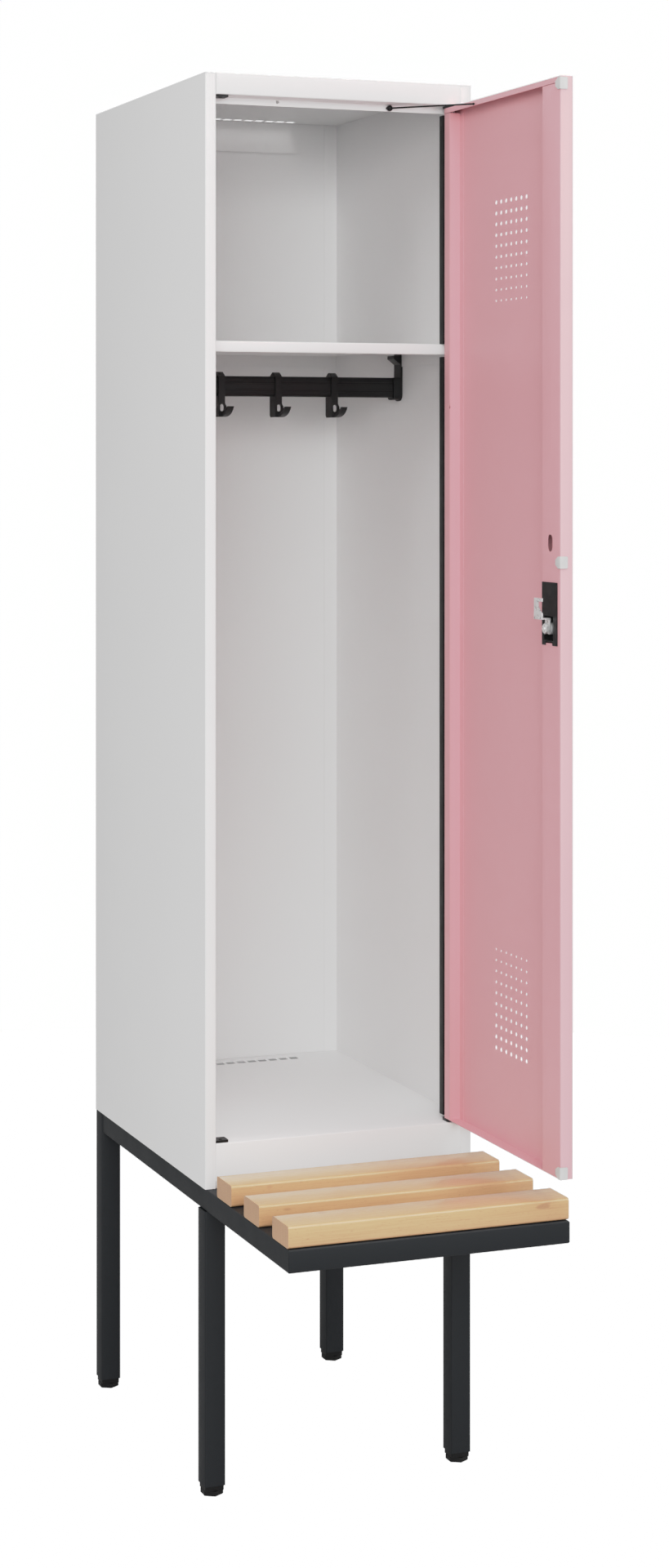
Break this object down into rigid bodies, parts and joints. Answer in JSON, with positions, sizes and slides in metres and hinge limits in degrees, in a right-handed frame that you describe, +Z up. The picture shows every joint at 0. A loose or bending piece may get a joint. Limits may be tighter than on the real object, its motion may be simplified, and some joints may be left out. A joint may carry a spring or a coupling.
{
  "type": "locker with bench",
  "caption": "Tall steel clothes locker with its door open, on a tube frame that carries a slatted wooden bench in front of it.",
  "frame": {"origin": "on the floor, at the centre of the box round the whole object with its door open at a right angle", "axes": "+Z up, +Y from the front of the locker to its rear, +X to the right as seen from the front"},
  "size_m": [0.4, 0.8514, 1.952],
  "materials": {
    "body_paint": "light grey powder coat, satin",
    "door_paint": "dusky pink powder coat, satin",
    "frame_paint": "anthracite powder coat, satin",
    "black_plastic": "moulded, matt",
    "grey_plastic": "moulded, matt",
    "beech": "clear lacquer, satin",
    "zinc": "zinc plated"
  },
  "bodies": {
    "locker": {"left_side_panel": "body_paint", "right_side_panel": "body_paint", "rear_panel": "body_paint", "roof_with_lintel": "body_paint", "base_tray": "body_paint", "hat_shelf": "body_paint", "left_sill_hinge_block": "black_plastic", "left_head_hinge_block": "black_plastic", "right_sill_hinge_block": "black_plastic", "right_head_hinge_block": "black_plastic", "lower_hinge_pin": "zinc", "upper_hinge_pin": "zinc", "upper_hinge_strip": "black_plastic", "lower_hinge_strip": "black_plastic", "coat_rail": "black_plastic", "left_rail_bracket": "black_plastic", "right_rail_bracket": "black_plastic", "left_side_rail": "frame_paint", "right_side_rail": "frame_paint", "front_rail": "frame_paint", "middle_cross_rail": "frame_paint", "rear_cross_rail": "frame_paint", "front_left_leg": "frame_paint", "front_right_leg": "frame_paint", "rear_left_leg": "frame_paint", "rear_right_leg": "frame_paint", "front_left_leg_collar": "black_plastic", "front_right_leg_collar": "black_plastic", "rear_left_leg_collar": "black_plastic", "rear_right_leg_collar": "black_plastic", "bench_slat_1": "beech", "bench_slat_2": "beech", "bench_slat_3": "beech"},
    "door": {"door_skin": "door_paint", "hinge_channel": "door_paint", "lock_channel": "door_paint", "upper_bumper": "grey_plastic", "middle_bumper": "grey_plastic", "lower_bumper": "grey_plastic", "lock_case": "black_plastic", "lock_barrel": "zinc"},
    "cam": {"lock_spindle": "zinc", "lock_cam": "zinc", "lock_cam_nut": "zinc"},
    "ball": {"stay_ball": "black_plastic"},
    "rod": {"stay_rod": "black_plastic"},
    "hook_1": {"coat_hook_1": "black_plastic"},
    "hook_2": {"coat_hook_2": "black_plastic"},
    "hook_3": {"coat_hook_3": "black_plastic"},
    "foot_front_left": {"front_left_foot": "black_plastic"},
    "foot_front_right": {"front_right_foot": "black_plastic"},
    "foot_rear_left": {"rear_left_foot": "black_plastic"},
    "foot_rear_right": {"rear_right_foot": "black_plastic"}
  },
  "joints": [
    {"name": "door_hinge", "type": "hinge", "parent": "locker", "child": "door", "pos_m": [0.1755, -0.06785, 1.2], "axis": [0, 0, 1], "range_deg": [-90, 0]},
    {"name": "cam_turn", "type": "hinge", "parent": "door", "child": "cam", "pos_m": [0.17, -0.39285, 1.201], "axis": [1, 0, 0], "range_deg": [0, 90]},
    {"name": "stay_swing", "type": "hinge", "parent": "locker", "child": "ball", "pos_m": [0.087, -0.04725, 1.9184], "axis": [0, 0, 1], "range_deg": [-49, 0]},
    {"name": "stay_slide", "type": "slide", "parent": "ball", "child": "rod", "axis": [-0.5422, 0.8396, 0.0324], "range_m": [0, 0.132]},
    {"name": "hook_1_slide", "type": "slide", "parent": "locker", "child": "hook_1", "axis": [1, 0, 0], "range_m": [-0.085, 0.07]},
    {"name": "hook_2_slide", "type": "slide", "parent": "locker", "child": "hook_2", "axis": [1, 0, 0], "range_m": [-0.07, 0.07]},
    {"name": "hook_3_slide", "type": "slide", "parent": "locker", "child": "hook_3", "axis": [1, 0, 0], "range_m": [-0.07, 0.085]},
    {"name": "front_left_foot_turn", "type": "hinge", "parent": "locker", "child": "foot_front_left", "pos_m": [-0.185, -0.06025, 0.01], "axis": [0, 0, 1], "continuous": true},
    {"name": "front_right_foot_turn", "type": "hinge", "parent": "locker", "child": "foot_front_right", "pos_m": [0.185, -0.06025, 0.01], "axis": [0, 0, 1], "continuous": true},
    {"name": "rear_left_foot_turn", "type": "hinge", "parent": "locker", "child": "foot_rear_left", "pos_m": [-0.185, 0.40975, 0.01], "axis": [0, 0, 1], "continuous": true},
    {"name": "rear_right_foot_turn", "type": "hinge", "parent": "locker", "child": "foot_rear_right", "pos_m": [0.185, 0.40975, 0.01], "axis": [0, 0, 1], "continuous": true}
  ],
  "couplings": [
    {"joint": "stay_swing", "follows": "door_hinge", "ratio": 0.543},
    {"joint": "stay_slide", "follows": "door_hinge", "m_per_rad": -0.0839}
  ]
}
